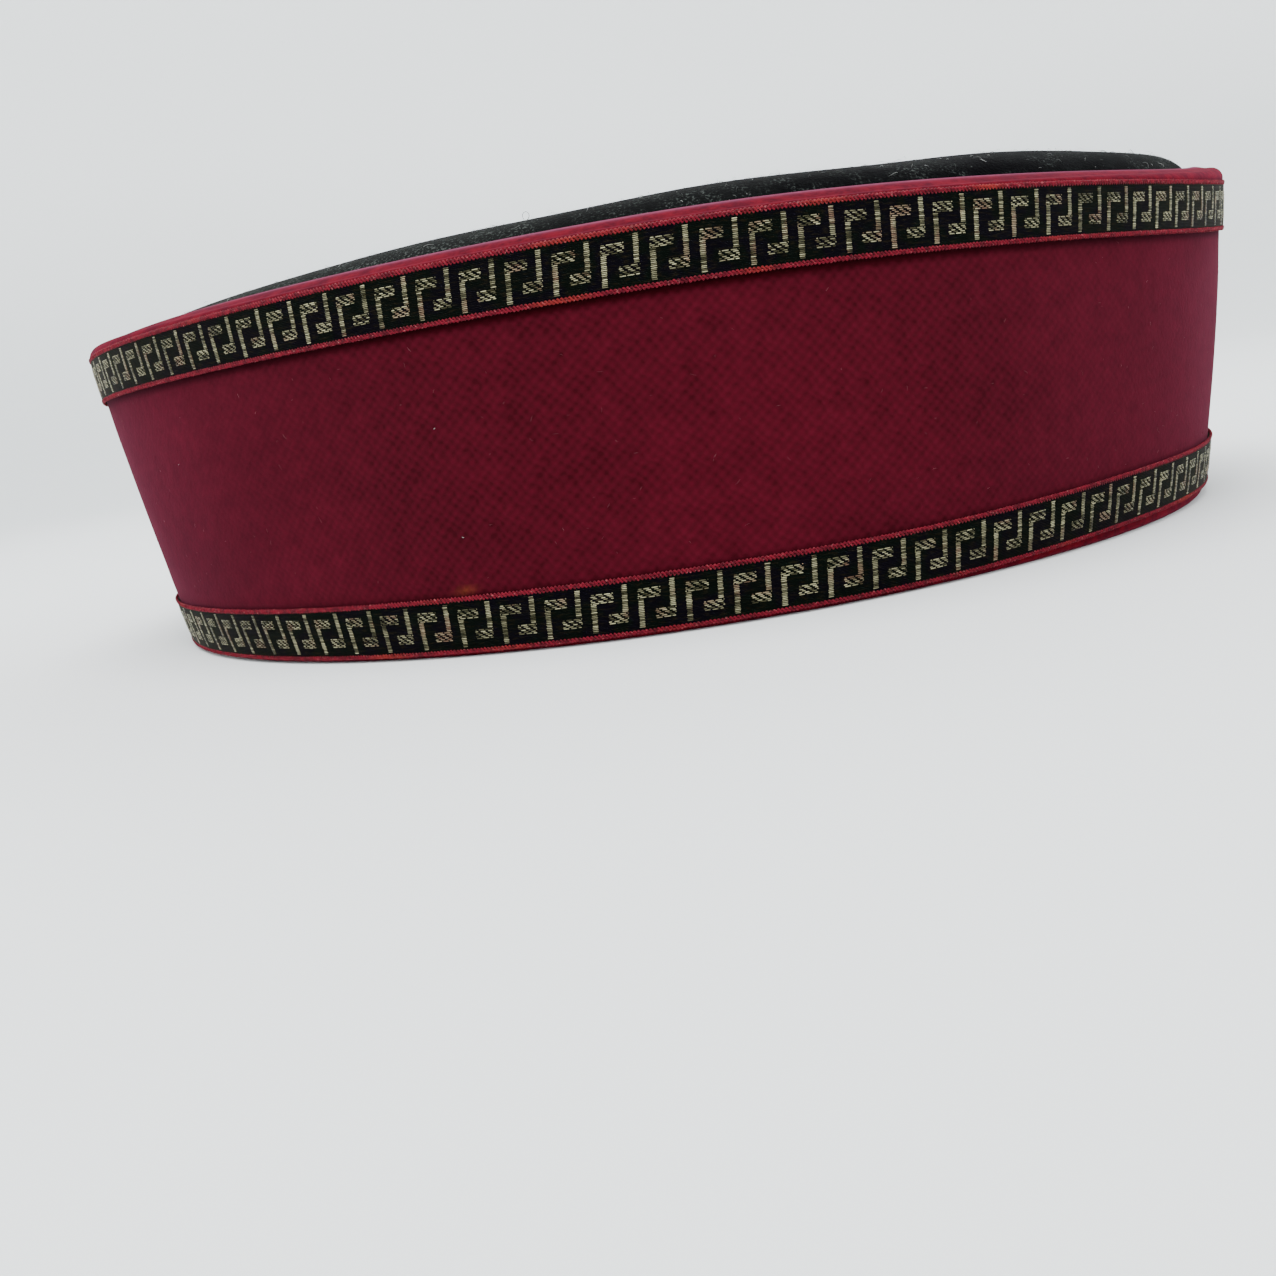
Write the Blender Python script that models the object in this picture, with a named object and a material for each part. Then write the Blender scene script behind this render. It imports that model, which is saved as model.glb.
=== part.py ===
"""Prayer cap: a stiff flared side wall with a rolled rim, a domed crown sewn in under the rim,
and two woven trim ribbons sewn round the wall, one under the rim and one above the foot.

Metres, +Z up, +X to the front of the cap. The cap stands on the lower edge of its wall, and
the origin is on that level, under the middle of the rim.
"""

import math

import bmesh
import bpy
import numpy as np

# Side wall: the outside of the flared band, at its rim and at its foot
RIM_LENGTH = 0.2124
RIM_WIDTH = 0.1826
RIM_HEIGHT = 0.0531
FOOT_LENGTH = 0.1970
FOOT_WIDTH = 0.1843
FOOT_FORWARD = 0.0010
WALL_THICKNESS = 0.0024
WALL_BULGE = 0.0007

# The rim's line: it sags before the front and rises to the front's tip and a little to the back
RIM_FRONT_SAG = 0.0044
RIM_FRONT_PEAK = 0.0070
RIM_BACK_LIFT = 0.0006

# Rolled margin: the wall's cloth turned over its top edge and inwards to the crown's seam
RIM_ROUND = 0.0013
MARGIN_WIDTH = 0.0060
MARGIN_RISE = 0.0016
MARGIN_THICKNESS = 0.0014

# Crown: the domed top, whose edge is tucked under the margin
CROWN_THICKNESS = 0.0020
CROWN_RISE = 0.0105
CROWN_PEAK_FORWARD = 0.0178

# Woven trim ribbons
RIBBON_WIDTH = 0.0083
RIBBON_THICKNESS = 0.0005
UPPER_RIBBON_DROP = 0.0003
UPPER_RIBBON_FRONT_DROP = 0.0013
UPPER_RIBBON_BACK_DROP = 0.0003
LOWER_RIBBON_RAISE = 0.0004
LOWER_RIBBON_FRONT_LIFT = 0.0012

# Clearance between two pieces that are sewn together
SEAM_GAP = 0.0003

# Shares of half the length: flanks drawn in, front shoulder drawn out, sides filled out
PLAN_SHARES = {
    "rim": {"flank": 0.022, "shoulder": 0.029, "side": 0.020},
    "foot": {"flank": 0.009, "shoulder": -0.022, "side": 0.005},
}

# Dome's section: powers of its fall towards the seam, and the share that rolls over steeply there
CROWN_SECTION = {"back": 2.1, "side": 2.4, "front": 5.4, "roll_share": 0.36, "roll": 36.0}

# Shares of the half length of the foot between which the lower ribbon climbs to the front
LIFT_SPAN = {"start": 0.20, "end": 0.75}

# Mesh fineness: columns round the cap, steps up the wall, and rings of the dome as shares
COLUMNS = 90
WALL_STEPS = 5
DOME_RINGS = (0.985, 0.96, 0.92, 0.86, 0.77, 0.63, 0.45, 0.24)

FACING = np.linspace(0.0, 2.0 * math.pi, COLUMNS, endpoint=False)
OUTWARD = np.stack([np.cos(FACING), np.sin(FACING)], axis=1)
FRONTWARD = np.maximum(OUTWARD[:, 0], 0.0)
BACKWARD = np.maximum(-OUTWARD[:, 0], 0.0)


def plan_outline(length, width, shares):
    """Oval as the envelope of its tangents: one point for each angle that the edge faces.

    A tangent's distance from the centre is that of an ellipse, less the flanks' share,
    which is full at 45 degrees, with the shoulder and side shares added.
    """
    a, b = length / 2.0, width / 2.0
    cos, sin = np.cos(FACING), np.sin(FACING)
    cos2, sin2 = np.cos(2.0 * FACING), np.sin(2.0 * FACING)
    ellipse = np.sqrt((a * cos) ** 2 + (b * sin) ** 2)
    reach = (
        ellipse
        - a * shares["flank"] * sin2 ** 2
        + a * shares["shoulder"] * cos * sin ** 2
        + a * shares["side"] * sin2 ** 2 * cos2
    )
    slope = (
        (b ** 2 - a ** 2) * sin * cos / ellipse
        - a * shares["flank"] * 4.0 * sin2 * cos2
        + a * shares["shoulder"] * sin * (2.0 * cos ** 2 - sin ** 2)
        + a * shares["side"] * (4.0 * sin2 * cos2 ** 2 - 2.0 * sin2 ** 3)
    )
    return np.stack([reach * cos - slope * sin, reach * sin + slope * cos], axis=1)


RIM_OUTLINE = plan_outline(RIM_LENGTH, RIM_WIDTH, PLAN_SHARES["rim"])
FOOT_OUTLINE = plan_outline(FOOT_LENGTH, FOOT_WIDTH, PLAN_SHARES["foot"]) + (FOOT_FORWARD, 0.0)
RIM_ALONG = RIM_OUTLINE[:, 0] / (RIM_LENGTH / 2.0)
RIM_LINE = (
    RIM_FRONT_PEAK * FRONTWARD ** 4
    - RIM_FRONT_SAG * np.maximum(RIM_ALONG, 0.0) ** 2
    + RIM_BACK_LIFT * np.minimum(RIM_ALONG, 0.0) ** 2
)


def wall_ring(height, inset):
    """Ring of points at a height on the flared wall, set in from its outside by inset.

    Each straight line of the wall joins the two points of foot and rim that face the same
    way. Heights are those at the middle of the sides: the rim's line is added in proportion.
    """
    height = np.broadcast_to(height, FACING.shape)
    share = np.clip(height / RIM_HEIGHT, 0.0, 1.0)
    bulge = 4.0 * WALL_BULGE * share * (1.0 - share)
    plan = FOOT_OUTLINE + (RIM_OUTLINE - FOOT_OUTLINE) * share[:, None]
    plan = plan + OUTWARD * (bulge - inset)[:, None]
    return np.column_stack([plan, height + RIM_LINE * share])


def margin_top(inset):
    """Height of the rolled margin's upper side: level at the rim and rising inwards."""
    share = (inset - RIM_ROUND) / (MARGIN_WIDTH - RIM_ROUND)
    share = min(max(share, 0.0), 1.0)
    return RIM_HEIGHT + MARGIN_RISE * math.sin(share * math.pi / 2.0)


def side_wall_rings():
    """Wall section as a closed loop: up the outside, in over the margin, and down the inside."""
    rings = []
    straight = RIM_HEIGHT - RIM_ROUND
    for step in range(WALL_STEPS + 1):
        rings.append(wall_ring(straight * step / WALL_STEPS, 0.0))
    for degrees in (30, 60, 90):
        turn = math.radians(degrees)
        height = straight + RIM_ROUND * math.sin(turn)
        rings.append(wall_ring(height, RIM_ROUND * (1.0 - math.cos(turn))))

    lip = MARGIN_THICKNESS / 2.0
    lip_start = MARGIN_WIDTH - lip
    for share in (0.35, 0.7, 1.0):
        inset = RIM_ROUND + (lip_start - RIM_ROUND) * share
        rings.append(wall_ring(margin_top(inset), inset))
    for degrees in (45, 90, 135):
        turn = math.radians(degrees)
        height = margin_top(lip_start) - lip + lip * math.cos(turn)
        rings.append(wall_ring(height, lip_start + lip * math.sin(turn)))
    for share in (0.0, 0.5, 1.0):
        inset = lip_start + (WALL_THICKNESS - lip_start) * share
        rings.append(wall_ring(margin_top(inset) - MARGIN_THICKNESS, inset))

    inner_top = margin_top(WALL_THICKNESS) - MARGIN_THICKNESS
    for step in range(WALL_STEPS - 1, -1, -1):
        rings.append(wall_ring(inner_top * step / WALL_STEPS, WALL_THICKNESS))
    return rings


def crown_rings():
    """Upper side of the crown, from its tucked edge to the last ring round the peak, and the peak."""
    under_margin = MARGIN_THICKNESS + SEAM_GAP
    edge = WALL_THICKNESS + SEAM_GAP
    rings = []
    for share in (0.0, 0.5):
        inset = edge + (MARGIN_WIDTH - edge) * share
        rings.append(wall_ring(margin_top(inset) - under_margin, inset))

    seam_level = margin_top(MARGIN_WIDTH) - under_margin
    seam = wall_ring(seam_level, MARGIN_WIDTH + SEAM_GAP)
    rings.append(seam)
    peak = np.array([CROWN_PEAK_FORWARD, 0.0, seam_level + CROWN_RISE])
    power = (
        CROWN_SECTION["side"]
        + (CROWN_SECTION["front"] - CROWN_SECTION["side"]) * FRONTWARD ** 2
        + (CROWN_SECTION["back"] - CROWN_SECTION["side"]) * BACKWARD ** 2
    )
    roll_share = CROWN_SECTION["roll_share"]
    for share in DOME_RINGS:
        ring = peak + (seam - peak) * share
        fall = (1.0 - roll_share) * share ** power + roll_share * share ** CROWN_SECTION["roll"]
        ring[:, 2] = peak[2] + (seam[:, 2] - peak[2]) * fall
        rings.append(ring)
    return rings, peak


def ribbon_rings(lower_edge):
    """Ribbon section as a closed loop, lying on the wall from its lower edge up."""
    inner = -SEAM_GAP
    outer = -SEAM_GAP - RIBBON_THICKNESS
    rings = []
    for inset, shares in ((outer, (0.0, 0.5, 1.0)), (inner, (1.0, 0.5, 0.0))):
        for share in shares:
            rings.append(wall_ring(lower_edge + RIBBON_WIDTH * share, inset))
    return rings


def upper_ribbon_edge():
    """Lower edge of the upper ribbon, which drops a little from the rim towards both ends."""
    end_drop = np.where(RIM_ALONG > 0.0, UPPER_RIBBON_FRONT_DROP, UPPER_RIBBON_BACK_DROP)
    drop = UPPER_RIBBON_DROP + end_drop * RIM_ALONG ** 2
    return RIM_HEIGHT - drop - RIBBON_WIDTH


def lower_ribbon_edge():
    """Lower edge of the lower ribbon: level round the back, climbing a little to the front."""
    along = (FOOT_OUTLINE[:, 0] - FOOT_FORWARD) / (FOOT_LENGTH / 2.0)
    share = (along - LIFT_SPAN["start"]) / (LIFT_SPAN["end"] - LIFT_SPAN["start"])
    share = np.clip(share, 0.0, 1.0)
    return LOWER_RIBBON_RAISE + LOWER_RIBBON_FRONT_LIFT * share ** 2 * (3.0 - 2.0 * share)


def skin(mesh, first, second):
    """Quads between two rings of vertices."""
    count = len(first)
    for i in range(count):
        j = (i + 1) % count
        mesh.faces.new((first[i], first[j], second[j], second[i]))


def add_ring(mesh, points):
    """Vertices of one ring."""
    return [mesh.verts.new(point) for point in points]


def finish(name, mesh, material):
    """Object of its own for one piece, its faces turned outwards and its soft edges smooth."""
    bmesh.ops.recalc_face_normals(mesh, faces=mesh.faces)
    data = bpy.data.meshes.new(name)
    mesh.to_mesh(data)
    mesh.free()
    data.shade_smooth()
    data.set_sharp_from_angle(angle=math.radians(50.0))
    data.materials.append(material)
    piece = bpy.data.objects.new(name, data)
    bpy.context.scene.collection.objects.link(piece)
    return piece


def make_band(name, rings, material):
    """Closed ring-shaped solid through a loop of rings."""
    mesh = bmesh.new()
    loops = [add_ring(mesh, ring) for ring in rings]
    for i, loop in enumerate(loops):
        skin(mesh, loop, loops[(i + 1) % len(loops)])
    return finish(name, mesh, material)


def make_shell(name, rings, peak, thickness, material):
    """Closed dome-shaped solid: upper rings and peak, and the same again lower by its thickness."""
    mesh = bmesh.new()
    edges = []
    for drop in ((0.0, 0.0, 0.0), (0.0, 0.0, thickness)):
        loops = [add_ring(mesh, ring - drop) for ring in rings]
        for first, second in zip(loops, loops[1:]):
            skin(mesh, first, second)
        top = mesh.verts.new(peak - drop)
        for i in range(COLUMNS):
            mesh.faces.new((loops[-1][i], loops[-1][(i + 1) % COLUMNS], top))
        edges.append(loops[0])
    skin(mesh, edges[0], edges[1])
    return finish(name, mesh, material)


def cloth(name, color, roughness):
    """Plain matt finish for one kind of cloth."""
    material = bpy.data.materials.new(name)
    material.use_nodes = True
    shader = material.node_tree.nodes["Principled BSDF"]
    shader.inputs["Base Color"].default_value = (*color, 1.0)
    shader.inputs["Roughness"].default_value = roughness
    shader.inputs["Metallic"].default_value = 0.0
    return material


def build_cap():
    """All the pieces of the cap."""
    for old in list(bpy.data.objects):
        bpy.data.objects.remove(old, do_unlink=True)

    velour = cloth("crimson velour", (0.105, 0.006, 0.016), 0.85)
    velvet = cloth("black velvet", (0.006, 0.008, 0.008), 0.9)
    upper_trim = cloth("upper woven trim", (0.012, 0.013, 0.010), 0.6)
    lower_trim = cloth("lower woven trim", (0.012, 0.013, 0.010), 0.6)

    make_band("side_wall", side_wall_rings(), velour)
    rings, peak = crown_rings()
    make_shell("crown", rings, peak, CROWN_THICKNESS, velvet)
    make_band("upper_ribbon", ribbon_rings(upper_ribbon_edge()), upper_trim)
    make_band("lower_ribbon", ribbon_rings(lower_ribbon_edge()), lower_trim)


build_cap()
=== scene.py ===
# Prayer cap of crimson velour and black velvet with two woven key trims: the finish of every surface.
import math

import bpy
import numpy as np
from mathutils import Matrix, Vector


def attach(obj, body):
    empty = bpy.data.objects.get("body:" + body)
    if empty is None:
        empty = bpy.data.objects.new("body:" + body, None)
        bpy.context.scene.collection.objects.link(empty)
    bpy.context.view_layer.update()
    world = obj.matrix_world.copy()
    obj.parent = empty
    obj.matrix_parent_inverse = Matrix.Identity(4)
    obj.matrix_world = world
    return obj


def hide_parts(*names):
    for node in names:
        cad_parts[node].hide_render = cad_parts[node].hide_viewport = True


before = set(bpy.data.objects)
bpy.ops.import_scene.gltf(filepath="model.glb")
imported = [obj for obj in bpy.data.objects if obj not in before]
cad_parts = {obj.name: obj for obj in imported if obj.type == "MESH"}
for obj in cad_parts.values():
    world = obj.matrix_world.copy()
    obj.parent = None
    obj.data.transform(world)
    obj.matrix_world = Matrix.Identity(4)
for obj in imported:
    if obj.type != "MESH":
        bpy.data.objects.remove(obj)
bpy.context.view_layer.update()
dice = np.random.default_rng(7)


# The form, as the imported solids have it

form = {
    "rim": {"length": 0.2124, "width": 0.1826, "flank": 0.022, "shoulder": 0.029, "side": 0.020},
    "foot": {"length": 0.1970, "width": 0.1843, "flank": 0.009, "shoulder": -0.022, "side": 0.005},
    "footForward": 0.0010,
    "rimHeight": 0.0531,
    "bulge": 0.0007,
    "frontSag": 0.0044,
    "frontPeak": 0.0070,
    "backLift": 0.0006,
}


def planOutline(facing, plan):
    # Oval as the envelope of its tangents. A tangent's distance is an ellipse's, less the flanks' share,
    # full at 45 degrees, with the shoulder and side shares added; the point lies at that distance
    # along the facing, and at the distance's slope square to it.
    a, b = plan["length"] / 2, plan["width"] / 2
    cos, sin, cos2, sin2 = np.cos(facing), np.sin(facing), np.cos(2 * facing), np.sin(2 * facing)
    ellipse = np.sqrt((a * cos) ** 2 + (b * sin) ** 2)
    reach = ellipse - a * plan["flank"] * sin2 ** 2
    reach = reach + a * plan["shoulder"] * cos * sin ** 2 + a * plan["side"] * sin2 ** 2 * cos2
    slope = (b ** 2 - a ** 2) * sin * cos / ellipse - a * plan["flank"] * 4 * sin2 * cos2
    slope = slope + a * plan["shoulder"] * sin * (2 * cos ** 2 - sin ** 2)
    slope = slope + a * plan["side"] * (4 * sin2 * cos2 ** 2 - 2 * sin2 ** 3)
    return np.stack([reach * cos - slope * sin, reach * sin + slope * cos], axis=-1)


def rimLine(facing):
    # The rim sags with the square of the way to the front, and peaks with the fourth power of the cosine
    along = planOutline(facing, form["rim"])[..., 0] / (form["rim"]["length"] / 2)
    peak = form["frontPeak"] * np.maximum(np.cos(facing), 0) ** 4
    lift = form["backLift"] * np.minimum(along, 0) ** 2
    return peak + lift - form["frontSag"] * np.maximum(along, 0) ** 2


def capPoint(facing, height, inset):
    # A point of the flared wall: the foot and rim points of one facing are joined by a straight line,
    # which bulges most half way up; inset moves it in along its facing, and a share of the rim's line
    # is added to its height.
    facing, height, inset = np.broadcast_arrays(facing, height, inset)
    share = np.clip(height / form["rimHeight"], 0, 1)[..., None]
    foot = planOutline(facing, form["foot"]) + (form["footForward"], 0)
    plan = foot + (planOutline(facing, form["rim"]) - foot) * share
    outward = np.stack([np.cos(facing), np.sin(facing)], axis=-1)
    plan = plan + outward * (4 * form["bulge"] * share * (1 - share) - inset[..., None])
    return np.concatenate([plan, (height + rimLine(facing) * share[..., 0])[..., None]], axis=-1)


ribbon = {
    "width": 0.0083, "edge": 0.00100, "back": 0.00012, "face": 0.00062, "crowning": 0.00006,
    "columns": 720, "rows": 25, "groundFrom": 0.55, "groundTuck": 0.8, "groundShoulder": 0.0002,
    "keyEdge": 0.0008, "threadPitch": 0.000232, "threadWidth": 0.00021, "threadHeight": 0.00011,
    "loopPitch": 0.00054, "loopOut": 0.00052, "loopSteps": 4, "plyRound": 0.00020, "plySwing": 0.00022,
    "plyDepth": 0.00008, "plySides": 5, "fastSwing": (0.15, 2100), "slowSwing": (0.10, 771),
    "rulerPoints": 7201,
}
trims = {
    "upper": {"node": "upper_ribbon", "slot": "upper_trim", "drop": 0.0003, "frontDrop": 0.0013,
              "backDrop": 0.0003, "repeats": 97, "phase": 0.00186},
    "lower": {"node": "lower_ribbon", "slot": "lower_trim", "raise": 0.0004, "frontLift": 0.0012,
              "liftFrom": 0.20, "liftTo": 0.75, "repeats": 94, "phase": 0.00057},
}


def lowerEdge(trim, facing):
    # Height of a ribbon's lower edge: the upper one drops from the rim to both ends with the square
    # of the way along, and the lower one climbs to the front by a smooth step
    if "drop" in trim:
        along = planOutline(facing, form["rim"])[..., 0] / (form["rim"]["length"] / 2)
        endDrop = np.where(along > 0, trim["frontDrop"], trim["backDrop"])
        return form["rimHeight"] - trim["drop"] - endDrop * along ** 2 - ribbon["width"]
    along = planOutline(facing, form["foot"])[..., 0] / (form["foot"]["length"] / 2)
    share = np.clip((along - trim["liftFrom"]) / (trim["liftTo"] - trim["liftFrom"]), 0, 1)
    return trim["raise"] + trim["frontLift"] * share ** 2 * (3 - 2 * share)


# Meshes from whole arrays of points

def gridFaces(rows, columns, wrapRows, wrapColumns):
    # Quads between neighbouring points of a grid, which may close on itself either way
    index = np.arange(rows * columns).reshape(rows, columns)
    here = index if wrapRows else index[:-1]
    above = np.roll(index, -1, axis=0) if wrapRows else index[1:]
    right, aboveRight = np.roll(here, -1, axis=1), np.roll(above, -1, axis=1)
    quads = np.stack([here, right, aboveRight, above], axis=-1)
    return (quads if wrapColumns else quads[:, :-1]).reshape(-1, 4)


def makePiece(name, points, faceGroups, finish, replaced=None):
    # One mesh object from points and groups of faces, its faces turned out by the sign of its volume
    points = np.ascontiguousarray(points, dtype=float).reshape(-1, 3)
    volume = 0.0
    for faces in faceGroups:
        for k in range(1, faces.shape[1] - 1):
            a, b, c = points[faces[:, 0]], points[faces[:, k]], points[faces[:, k + 1]]
            volume += float(np.einsum("ij,ij->i", a, np.cross(b, c)).sum())
    if volume < 0:
        faceGroups = [faces[:, ::-1] for faces in faceGroups]
    corners = np.concatenate([faces.ravel() for faces in faceGroups])
    sizes = np.concatenate([np.full(len(faces), faces.shape[1]) for faces in faceGroups])
    mesh = bpy.data.meshes.new(name)
    mesh.vertices.add(len(points))
    mesh.vertices.foreach_set("co", points.ravel())
    mesh.loops.add(len(corners))
    mesh.loops.foreach_set("vertex_index", corners.astype(np.int32))
    mesh.polygons.add(len(sizes))
    mesh.polygons.foreach_set("loop_start", (np.cumsum(sizes) - sizes).astype(np.int32))
    mesh.update(calc_edges=True)
    mesh.shade_smooth()
    mesh.materials.append(finish)
    piece = bpy.data.objects.new(name, mesh)
    bpy.context.scene.collection.objects.link(piece)
    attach(piece, "root")
    if replaced:
        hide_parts(replaced)
    print(name, "has", int((sizes - 2).sum()), "triangles")
    return piece


def giveMap(piece, corners):
    # The piece's own map, in metres over the cloth, from a value for each vertex; a face that
    # crosses the closing seam takes the far end's value plus the whole way round
    mesh = piece.data
    index = np.zeros(len(mesh.loops), np.int32)
    mesh.loops.foreach_get("vertex_index", index)
    flat = corners.reshape(-1, 2)[index].reshape(-1, 4, 2)
    whole = flat[..., 0].max()
    wraps = np.ptp(flat[..., 0], axis=1) > whole / 2
    flat[wraps, :, 0] += np.where(flat[wraps, :, 0] < whole / 2, whole, 0)
    layer = mesh.uv_layers.new(name="cloth")
    layer.uv.foreach_set("vector", np.ascontiguousarray(flat, dtype=np.float32).ravel())


def giveShare(piece, name, values):
    # A number for each vertex, which a finish reads by its name
    layer = piece.data.attributes.new(name, "FLOAT", "POINT")
    layer.data.foreach_set("value", np.ascontiguousarray(values, dtype=np.float32).ravel())


# Finishes: nodes written as sums

class Wire:
    # An output socket: sums written on it add Math nodes
    def __init__(self, finish, socket):
        self.finish, self.socket = finish, socket

    def __add__(self, other):
        return self.finish.maths("ADD", self, other)

    def __sub__(self, other):
        return self.finish.maths("SUBTRACT", self, other)

    def __rsub__(self, other):
        return self.finish.maths("SUBTRACT", other, self)

    def __mul__(self, other):
        return self.finish.maths("MULTIPLY", self, other)


class Finish:
    # A material: what is the same all over is set on the shader, and one method adds every node
    def __init__(self, name, **fixed):
        self.material = bpy.data.materials.new(name)
        self.material.use_nodes = True
        self.tree = self.material.node_tree
        self.shader = self.tree.nodes["Principled BSDF"]
        for words, value in fixed.items():
            self.feed(self.shader.inputs[words.replace("_", " ")], value)

    def feed(self, socket, value):
        if isinstance(value, Wire):
            self.tree.links.new(value.socket, socket)
        elif isinstance(value, tuple) and socket.type == "RGBA":
            socket.default_value = (*value, 1.0)
        else:
            socket.default_value = value

    def node(self, kind, settings=(), sockets=(), output=0):
        added = self.tree.nodes.new("ShaderNode" + kind)
        for name, value in dict(settings).items():
            setattr(added, name, value)
        for name, value in dict(sockets).items():
            self.feed(added.inputs[name], value)
        return Wire(self, added.outputs[output])

    def maths(self, operation, first, second=0.0, clamped=False):
        settings = {"operation": operation, "use_clamp": clamped}
        return self.node("Math", settings, {0: first, 1: second})

    def blend(self, share, first, second):
        return self.node("Mix", {"data_type": "RGBA"}, {0: share, 6: first, 7: second}, 2)

    def noise(self, place, scale, detail=2.0, rough=0.5):
        sockets = {"Vector": place, "Scale": scale, "Detail": detail, "Roughness": rough}
        return self.node("TexNoise", {}, sockets)

    def step(self, value, low, high):
        settings = {"interpolation_type": "SMOOTHSTEP"}
        return self.node("MapRange", settings, {0: value, 1: low, 2: high})

    def objectPlace(self):
        return self.node("TexCoord", output=3)

    def mapPlace(self):
        return self.node("TexCoord", output=2)

    def share(self, name):
        return self.node("Attribute", {"attribute_name": name}, output=2)

    def stretch(self, place, scale):
        return self.node("VectorMath", {"operation": "MULTIPLY"}, {0: place, 1: scale})

    def apart(self, place):
        return [self.node("SeparateXYZ", {}, {0: place}, k) for k in range(2)]

    def bump(self, height, distance, strength=1.0, under=None):
        sockets = {"Height": height, "Distance": distance, "Strength": strength}
        if under:
            sockets["Normal"] = under
        return self.node("Bump", {}, sockets)

    def paint(self, **sockets):
        for words, value in sockets.items():
            self.feed(self.shader.inputs[words.replace("_", " ")], value)
        return self.material


def velourFinish():
    # The wall's tone is a sum of clouds, pile and patches less the pressed dots. The margin is mottled,
    # with a painted sheen and some worn pile along its crest; painted shade darkens the cloth next to both
    # ribbons, and one spot has a smudge.
    look = {
        "deep": (0.027, 0.0017, 0.0038), "full": (0.064, 0.0038, 0.0095),
        "marginDeep": (0.035, 0.0008, 0.0030), "marginFull": (0.100, 0.0026, 0.0062),
        "sheenWearCrest": (0.15, 0.045, 0.085), "shaded": (0.009, 0.0002, 0.0005), "smudge": (0.17, 0.042, 0.014),
        "cloudScale": 38.0, "patchScale": 420.0, "pileScale": 1500.0,
        "dotPitch": (0.00168, 0.00158), "dotWander": 5.5, "dotDark": 0.27, "dotDepth": 0.00006,
        "pileDepth": 0.00012, "shadeFrom": -0.0002, "shadeWidth": 0.0014, "shadeLower": 0.35,
    }
    cloth = Finish("crimson velour", Roughness=0.95, Sheen_Weight=0.085, Sheen_Roughness=0.48,
                   Sheen_Tint=(1.0, 0.20, 0.42), Specular_IOR_Level=0.02)
    along, up = cloth.apart(cloth.mapPlace())
    turns = [2 * math.pi / pitch for pitch in look["dotPitch"]]
    place = cloth.objectPlace()
    clouds = cloth.noise(place, look["cloudScale"], 3.0)
    patches = cloth.noise(place, look["patchScale"], 2.0)
    pile = cloth.noise(place, look["pileScale"], 3.0, 0.6)
    wander = patches * look["dotWander"]
    columns = cloth.maths("COSINE", along * turns[0] + wander)
    rows = cloth.maths("COSINE", up * turns[1] + wander)
    dots = columns * rows * cloth.share("dotted")
    tone = clouds * 0.7 + pile * 0.6 + patches * 0.8 - 0.61 - dots * look["dotDark"]
    color = cloth.blend(cloth.maths("ADD", tone, 0.0, True), look["deep"], look["full"])
    mottled = cloth.step(patches * 0.6 + pile * 0.5, 0.38, 0.72)
    marginColor = cloth.blend(mottled, look["marginDeep"], look["marginFull"])
    color = cloth.blend(cloth.share("margin"), color, marginColor)
    # Painted sheen, with some worn pile, turns the margin's crest a paler lavender grey
    paler = cloth.share("sheenWearCrest") * (pile * 0.8 + 0.45)
    color = cloth.blend(cloth.maths("ADD", paler, 0.0, True), color, look["sheenWearCrest"])
    # Painted shade: a dark band just under the upper ribbon, and a fainter one just over the lower ribbon
    shade = 1 - cloth.step(cloth.share("belowUpper"), 0.0, look["shadeWidth"])
    lower = 1 - cloth.step(cloth.share("aboveLower"), look["shadeFrom"], look["shadeWidth"] * 0.5)
    shade = shade + lower * look["shadeLower"]
    color = cloth.blend(cloth.maths("MULTIPLY", shade, 0.9, True), color, look["shaded"])
    color = cloth.blend(cloth.share("smudge") * pile, color, look["smudge"])
    low = cloth.bump(dots, look["dotDepth"], -0.3)
    return cloth.paint(Base_Color=color, Normal=cloth.bump(pile, look["pileDepth"], 0.4, low))


def velvetFinish():
    # Black pile, greyer towards the crown's front and back ends, with clumps of fine pale lint that thicken
    # there
    look = {
        "deep": (0.0005, 0.0005, 0.0009), "paler": (0.0115, 0.0130, 0.0118), "lint": (0.120, 0.135, 0.124),
        "cloudScale": 60.0, "clumpScale": 210.0, "pileScale": 1900.0, "lintScale": 2700.0,
        "lintShare": 0.45, "pileDepth": 0.0003,
    }
    cloth = Finish("black velvet", Roughness=0.9, Sheen_Weight=0.010, Sheen_Roughness=0.3,
                   Sheen_Tint=(0.85, 0.90, 0.90), Specular_IOR_Level=0.02)
    place = cloth.objectPlace()
    clouds = cloth.noise(place, look["cloudScale"], 3.0)
    pile = cloth.noise(place, look["pileScale"], 3.0, 0.6)
    # The velvet turns greyer towards the crown's front and back ends, varied by slow clouds
    greyerToEnds = cloth.share("greyerToEnds") * 0.85 + clouds * 0.5 - 0.22
    clumps = cloth.step(cloth.noise(place, look["clumpScale"], 2.0) + greyerToEnds * 0.35, 0.44, 0.82)
    lint = cloth.step(cloth.noise(place, look["lintScale"], 2.0), 0.53, 0.68) * clumps
    color = cloth.blend(cloth.maths("ADD", greyerToEnds, 0.0, True), look["deep"], look["paler"])
    color = cloth.blend(lint * look["lintShare"], color, look["lint"])
    return cloth.paint(Base_Color=color, Normal=cloth.bump(pile, look["pileDepth"], 0.7))


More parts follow.
